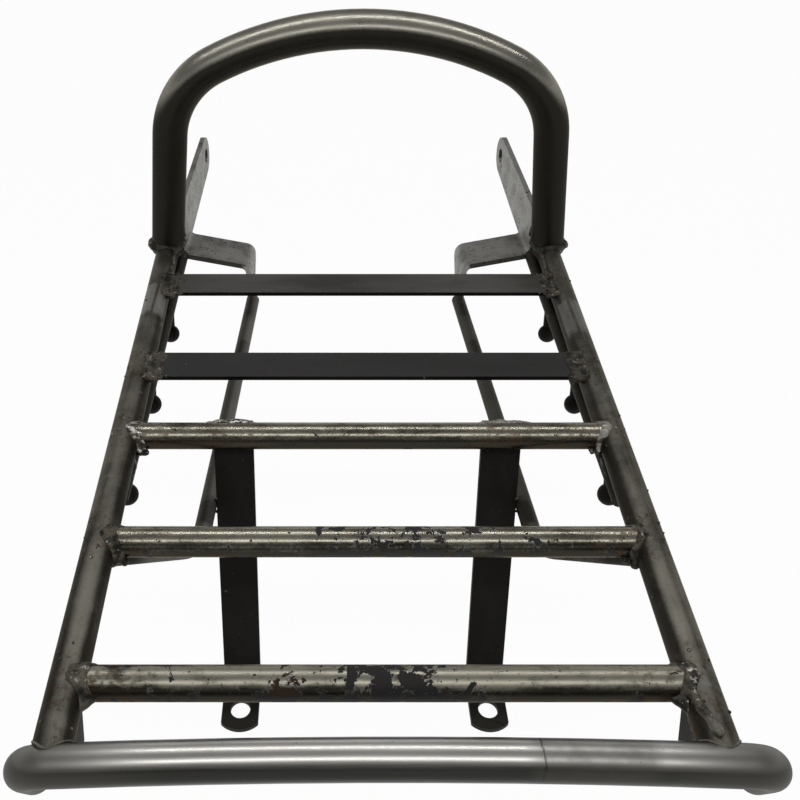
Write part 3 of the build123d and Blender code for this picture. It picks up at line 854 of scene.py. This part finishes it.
def corner_web(side, node, toward, along_tube, along_rail, radius):
    """Rows of blobs that fill the corner between a cross tube and its rail, behind (-1) or ahead (1)."""
    edge = PLAN.cross[node] + toward * (PLAN.cross_r - WEB_SINK)
    inset = PLAN.rail_r - WEB_SINK
    for row in range(WEB_ROWS):
        part = row / (WEB_ROWS - 1)
        on_tube = PLAN.beside(side, edge, inset + along_tube * part)
        on_rail = PLAN.beside(side, edge + toward * along_rail * part, inset)
        yield line(on_tube, on_rail), radius * (1.6 - 0.9 * part)


def tube_collar(side, node, radius):
    """Rings of weld sunk into a cross tube's end, reaching further along it on the left."""
    for ring in range(COLLAR_RINGS):
        part = ring / (COLLAR_RINGS - 1)
        size = radius * (1.0 - 0.4 * part)
        out = COLLAR_REACH[side] * part - 0.5 * MM
        yield saddle(side, node, -0.5 * size, out), size, True


def cross_tube_beads(bead):
    """Beads round the ends of the third and fourth tubes, with dark lumps that hang behind them."""
    for side in SIDES.values():
        for node, part in TUBE_BEADS.items():
            radius = part * bead
            rear = PLAN.cross[node] - PLAN.cross_r
            inner = PLAN.rail_x(rear) - PLAN.rail_r
            yield from tube_collar(side, node, 0.95 * radius)
            yield from corner_web(side, node, -1, 4 * part * MM, 3 * part * MM, 0.8 * radius)
            for reach, back, fall, lump in HANGING_LUMPS:
                x = side * (inner - reach * part * MM)
                start = Vector((x, rear - back * part * MM, PLAN.deck - fall * MM))
                yield line(start, start + Vector((0, 2 * MM, MM)), 3), lump * radius


def fifth_tube_fillets(bead):
    """Smooth flares round the fifth tube's ends, and a run of weld along the right rail to the rear bar."""
    node = "fifth_cross_tube"
    for side in SIDES.values():
        yield from tube_collar(side, node, 1.1 * bead)
        yield from corner_web(side, node, -1, 7 * MM, 8 * MM, 0.9 * bead)
        yield from corner_web(side, node, 1, 3.5 * MM, 3.5 * MM, 0.8 * bead)
    start_y = PLAN.cross[node] - 2 * MM
    end_y = PLAN.rear_y + 0.75 * PLAN.bar_r
    start = PLAN.beside(1, start_y, PLAN.rail_r, 0.55 * PLAN.rail_r)
    end = PLAN.beside(1, end_y, 0.3 * PLAN.rail_r, 1.02 * PLAN.rail_r)
    yield line(start, end), 0.9 * bead


def hoop_beads(bead):
    """Thick collars where the hoop's legs straddle the rails, and lumps in a chain to the front slat."""
    least_rise = 6 * MM
    x = PLAN.rail_x(PLAN.hoop_y)
    for side in SIDES.values():
        collar = []
        for outward, ahead in turn(HOOP_STEPS):
            across = PLAN.hoop_r * outward
            rise = sqrt(max(PLAN.rail_r**2 - across**2, 0))
            y = PLAN.hoop_y + PLAN.hoop_r * ahead
            collar.append((side * (x + across), y, PLAN.deck + max(rise, least_rise)))
        yield collar, 1.05 * bead, True
        chain = []
        for y in (PLAN.slat["front_slat"] + PLAN.slat_half, PLAN.hoop_y - PLAN.hoop_r):
            chain.append(PLAN.beside(side, y, 0.8 * PLAN.rail_r, 0.5 * PLAN.rail_r))
        yield line(*chain), 0.65 * bead


def slat_beads(bead):
    """Ragged weld over the slats' ends, in rows that thin out inward, and a run below."""
    top = PLAN.slat_top - PLAN.deck
    inset = sqrt(PLAN.rail_r**2 - top**2)
    rows = ((0.5 * MM, 0.6 * MM, 0.9), (4.0 * MM, 0.8 * MM, 0.8), (7.5 * MM, 0.7 * MM, 0.68),
            (10.5 * MM, 0.6 * MM, 0.56), (13.5 * MM, 0.6 * MM, 0.42), (3.0 * MM, PLAN.slat_t, 0.7))
    for side in SIDES.values():
        for y in PLAN.slat.values():
            for reach, depth, part in rows:
                ends = []
                for at_y in (y - PLAN.slat_half - 0.6 * MM, y + PLAN.slat_half - 0.4 * MM):
                    ends.append(PLAN.beside(side, at_y, inset + reach, top - depth))
                yield line(*ends), part * bead
            at_y = y - PLAN.slat_half - MM
            corner = PLAN.beside(side, at_y, inset, top - 2 * MM)
            tip = PLAN.beside(side, at_y, inset + 7 * MM, top - 1.5 * MM)
            yield line(corner, tip, 6), 0.8 * bead


def bar_beads(bead):
    """Beads where the rails' rear ends meet the rear bar."""
    bow_back = min(span_of("rear_bar").y - 2 * PLAN.bar_r, BAR_BOW)
    for side in SIDES.values():
        seat = []
        for across, up in turn(RING_STEPS):
            x = side * PLAN.rail_rear + PLAN.rail_r * across
            rise = PLAN.rail_r * up
            bow = bow_back * ((x - PLAN.bar_x) / PLAN.bar_half) ** 2
            seat.append((x, PLAN.rear_y - bow + sqrt(PLAN.bar_r**2 - rise**2), PLAN.deck + rise))
        yield seat, 0.4 * bead, True


def solids_of(node):
    """The points of each separate solid in a CAD node."""
    form = merged(node)
    solids = []
    for first in form.verts:
        if first.tag:
            continue
        first.tag = True
        waiting = [first]
        points = []
        while waiting:
            vert = waiting.pop()
            points.append(vert.co.copy())
            for edge in vert.link_edges:
                other = edge.other_vert(vert)
                if not other.tag:
                    other.tag = True
                    waiting.append(other)
        solids.append(points)
    form.free()
    return solids


def traced_beads(node, radius):
    """Beads along the CAD node's own straight beads."""
    for points in solids_of(node):
        middle = sum(points, Vector()) / len(points)
        tip = max(points, key=lambda point: (point - middle).length)
        tail = max(points, key=lambda point: (point - tip).length)
        along = (tip - tail).normalized()
        reach = max(abs((point - middle).dot(along)) for point in points) - 0.6 * radius
        yield line(middle - along * reach, middle + along * reach), radius


def strap_top_beads(bead):
    """A low smooth lens of weld where each strap's top lies against the third tube."""
    steps = 24
    y = PLAN.cross["third_cross_tube"] + 0.6 * PLAN.cross_r
    z = PLAN.deck + 0.5 * PLAN.cross_r
    for side in SIDES.values():
        ends = [(side * PLAN.strap_x + way * 1.4 * PLAN.strap_half, y, z) for way in (-1, 1)]
        yield line(*ends, steps), swelling(1.35 * bead, steps, 0.5)


def hook_beads(bead):
    """Tacks between rail and lower rod, over each hook's stem."""
    steps = 8
    reach = Vector((0, 8 * MM, 0))
    for name, side in SIDES.items():
        rod_z = centre_of(f"{name}_lower_rod").z
        for hook in HOOKS:
            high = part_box(f"{name}_{hook}")[1]
            y = high.y - 3 * MM
            z = max((high.z + PLAN.deck) / 2 - 1.5 * MM, rod_z + 2 * MM)
            root = Vector((side * (PLAN.rail_x(y) - 5.5 * MM), y, z))
            yield line(root - reach, root + reach, steps), swelling(0.75 * bead, steps)


class RACK_OT_tubes(bpy.types.Operator):
    """Dress the side rails and the front hoop"""

    bl_idname = "rack.tubes"
    bl_label = "Rails and hoop"

    def execute(self, context):
        for node in ("left_rail", "right_rail", "front_hoop"):
            skin(node, worn_tube, "worn_tube")
        return {"FINISHED"}


class RACK_OT_rear_bar(bpy.types.Operator):
    """Dress the polished rear bar"""

    bl_idname = "rack.rear_bar"
    bl_label = "Rear bar"

    def execute(self, context):
        skin("rear_bar", polished_bar, "polished_bar")
        return {"FINISHED"}


class RACK_OT_cross_tubes(bpy.types.Operator):
    """Dress the plated cross tubes"""

    bl_idname = "rack.cross_tubes"
    bl_label = "Cross tubes"

    def execute(self, context):
        for node in CROSS_TUBES:
            skin(node, flaked_plating, "flaked_plating")
        return {"FINISHED"}


class RACK_OT_flat_bars(bpy.types.Operator):
    """Dress the slats, the rear straps and the gussets"""

    bl_idname = "rack.flat_bars"
    bl_label = "Flat bars"

    def execute(self, context):
        for node in SLATS:
            skin(node, slat_paint, "dark_flat_bar", BEVEL_WIDTH)
        for piece in ("rear_strap", "rear_gusset"):
            for side in SIDES:
                skin(f"{side}_{piece}", black_paint, "dark_flat_bar", BEVEL_WIDTH)
        return {"FINISHED"}


class RACK_OT_brackets(bpy.types.Operator):
    """Dress the folded front brackets"""

    bl_idname = "rack.brackets"
    bl_label = "Front brackets"

    def execute(self, context):
        for side in SIDES:
            skin(f"{side}_front_bracket", pitted_plate, "bare_plate", BEVEL_WIDTH)
        return {"FINISHED"}


class RACK_OT_rods(bpy.types.Operator):
    """Dress the lower rods and the struts"""

    bl_idname = "rack.rods"
    bl_label = "Rods and struts"

    def execute(self, context):
        for side in SIDES:
            for piece in ("lower_rod", "strut"):
                skin(f"{side}_{piece}", dull_rod, "dull_rod")
        return {"FINISHED"}


class RACK_OT_hooks(bpy.types.Operator):
    """Dress the ball-ended hooks"""

    bl_idname = "rack.hooks"
    bl_label = "Hooks"

    def execute(self, context):
        for side in SIDES:
            for piece in HOOKS:
                skin(f"{side}_{piece}", black_paint, "black_hook")
        return {"FINISHED"}


class RACK_OT_welds(bpy.types.Operator):
    """Lay the weld metal at the joints"""

    bl_idname = "rack.welds"
    bl_label = "Welds"

    def execute(self, context):
        sizes = context.scene.rack_welds
        bead = sizes.bead
        # Each group has its unevenness, its runs and the CAD node that it stands for, if any
        groups = {
            "cross_tube_beads": (1.0, cross_tube_beads(bead)),
            "fifth_tube_fillets": (0.45, fifth_tube_fillets(bead)),
            "hoop_beads": (1.0, hoop_beads(bead)),
            "slat_beads": (0.4, slat_beads(bead), "slat_welds"),
            "rear_bar_beads": (0.2, bar_beads(bead)),
            "strap_top_beads": (0.15, strap_top_beads(bead)),
            "strap_beads": (0.6, traced_beads("strap_welds", 0.75 * bead), "strap_welds"),
            "bracket_beads": (1.0, traced_beads("bracket_welds", 0.9 * bead), "bracket_welds"),
            "strut_beads": (0.6, traced_beads("strut_welds", 0.5 * bead), "strut_welds"),
            "gusset_beads": (0.6, traced_beads("gusset_welds", 0.5 * bead), "gusset_welds"),
            "hook_beads": (0.6, hook_beads(bead)),
        }
        tree = lump_tree()
        for name, (uneven, runs, *nodes) in groups.items():
            add_weld(
                name, runs, tree, *nodes, Spacing=sizes.spacing, Grain=sizes.grain, Seed=sizes.seed,
                Wander=sizes.wander * uneven, Relief=sizes.relief * uneven)
        return {"FINISHED"}


class RACK_OT_spatter(bpy.types.Operator):
    """Scatter drops of weld spatter on the rails"""

    bl_idname = "rack.spatter"
    bl_label = "Weld spatter"

    def execute(self, context):
        sizes = context.scene.rack_welds
        chance = random.Random(sizes.seed)
        drops = []
        for side in SIDES.values():
            for y in (*PLAN.cross.values(), *PLAN.slat.values()):
                for _ in range(sizes.spatter):
                    at_y = y + chance.gauss(0, SPATTER_SPREAD)
                    angle = radians(chance.uniform(*SPATTER_TURN))
                    place = PLAN.beside(side, at_y, PLAN.rail_r * cos(angle), PLAN.rail_r * sin(angle))
                    drops.append(([place], sizes.drop * chance.uniform(0.3, 1.0)))
        add_weld("weld_spatter", drops, drop_tree())
        return {"FINISHED"}


class RACK_OT_stage(bpy.types.Operator):
    """Set up the floor, the lamps and the camera"""

    bl_idname = "rack.stage"
    bl_label = "Stage"

    def execute(self, context):
        stage = context.scene.rack_stage
        self.floor(stage)
        self.light(context.scene, stage)
        self.camera(context.scene, stage)
        return {"FINISHED"}

    @staticmethod
    def floor(stage):
        """A round floor whose rim curves up all round, seen as an even white that keeps the shadow."""
        turns = 64
        rings = 7
        clearance = 0.3 * MM
        points = []
        for ring in range(rings):
            bend = pi / 2 * ring / (rings - 1)
            radius = (stage.floor_flat + (stage.floor_size - stage.floor_flat) * sin(bend)) / 2
            height = CAD_BOX[0].z - clearance + stage.floor_rim * (1 - cos(bend))
            points.extend((radius * across, radius * ahead, height) for across, ahead in turn(turns))
        faces = [tuple(range(turns))]
        for inner in range(0, turns * (rings - 1), turns):
            outer = inner + turns
            for step in range(turns):
                after = (step + 1) % turns
                faces.append((inner + step, outer + step, outer + after, inner + after))
        mesh = bpy.data.meshes.new("floor")
        mesh.from_pydata(points, [], faces)
        mesh.shade_smooth()
        floor = put("floor", mesh)
        paint = Paint("floor")
        paint.tree.nodes.remove(paint.shader)
        matt = paint.node("ShaderNodeBsdfDiffuse", sockets={"Color": stage.floor_colour})
        even = paint.node("ShaderNodeEmission", sockets={"Color": (1.0, 1.0, 1.0), "Strength": 1.0})
        rays = ("Is Camera Ray", "Is Glossy Ray", "Is Transmission Ray")
        seen = reduce(or_, [paint.node("ShaderNodeLightPath", output=ray) for ray in rays])
        mixed = paint.node("ShaderNodeMixShader", sockets={0: seen * stage.floor_glow, 1: matt, 2: even})
        paint.tree.links.new(mixed.socket, paint.tree.nodes["Material Output"].inputs["Surface"])
        mesh.materials.append(paint.material)

    @staticmethod
    def light(scene, stage):
        """Even light from all round and two strip lamps across the rack."""
        world = bpy.data.worlds.new("Studio")
        world.use_nodes = True
        scene.world = world
        ground = world.node_tree.nodes["Background"]
        ground.inputs["Color"].default_value = (1.0, 1.0, 1.0, 1.0)
        ground.inputs["Strength"].default_value = stage.room_light
        aim = Vector((0, (PLAN.rear_y + PLAN.front_y) / 2, PLAN.deck))
        for name, place in (("Front lamp", stage.front_lamp), ("Rear lamp", stage.rear_lamp)):
            lamp = bpy.data.lights.new(name, "AREA")
            lamp.shape = "RECTANGLE"
            lamp.size = stage.lamp_length
            lamp.size_y = stage.lamp_width
            lamp.energy = stage.lamp_power
            holder = put(name, lamp)
            holder.location = place
            holder.rotation_euler = (aim - Vector(place)).to_track_quat("-Z", "Y").to_euler()
            holder.visible_camera = False

    @staticmethod
    def camera(scene, stage):
        """The photograph's view."""
        lens = bpy.data.cameras.new("Camera")
        lens.lens = stage.lens
        lens.sensor_width = 36.0
        lens.shift_x = stage.shift
        lens.clip_start = 0.01
        holder = put("Camera", lens)
        holder.location = stage.eye
        holder.rotation_euler = (pi / 2 - stage.tilt, 0, 0)
        scene.camera = holder
        scene.view_settings.view_transform = "Standard"


class RACK_PT_panel(bpy.types.Panel):
    """Lists the steps that dress the rack"""

    bl_idname = "RACK_PT_panel"
    bl_label = "Luggage rack"
    bl_space_type = "VIEW_3D"
    bl_region_type = "UI"
    bl_category = "Rack"

    def draw(self, context):
        for operator in OPERATORS:
            self.layout.operator(operator.bl_idname)
        for group in SETTINGS:
            settings = getattr(context.scene, group)
            for name in settings.bl_rna.properties.keys():
                if name not in ("rna_type", "name"):
                    self.layout.prop(settings, name)


OPERATORS = (
    RACK_OT_tubes,
    RACK_OT_rear_bar,
    RACK_OT_cross_tubes,
    RACK_OT_flat_bars,
    RACK_OT_brackets,
    RACK_OT_rods,
    RACK_OT_hooks,
    RACK_OT_welds,
    RACK_OT_spatter,
    RACK_OT_stage,
)
SETTINGS = {"rack_finishes": FinishSettings, "rack_welds": WeldSettings, "rack_stage": StageSettings}


def register():
    """Adds the settings, operators and panel to Blender."""
    for group, settings in SETTINGS.items():
        bpy.utils.register_class(settings)
        setattr(bpy.types.Scene, group, bpy.props.PointerProperty(type=settings))
    for operator in OPERATORS:
        bpy.utils.register_class(operator)
    bpy.utils.register_class(RACK_PT_panel)


def unregister():
    """Takes the settings, operators and panel out again."""
    bpy.utils.unregister_class(RACK_PT_panel)
    for operator in reversed(OPERATORS):
        bpy.utils.unregister_class(operator)
    for group, settings in SETTINGS.items():
        delattr(bpy.types.Scene, group)
        bpy.utils.unregister_class(settings)


def main():
    """Dresses the rack and sets the stage."""
    register()
    bpy.ops.rack.tubes()
    bpy.ops.rack.rear_bar()
    bpy.ops.rack.cross_tubes()
    bpy.ops.rack.flat_bars()
    bpy.ops.rack.brackets()
    bpy.ops.rack.rods()
    bpy.ops.rack.hooks()
    bpy.ops.rack.welds()
    bpy.ops.rack.spatter()
    bpy.ops.rack.stage()


if __name__ == "__main__":
    main()
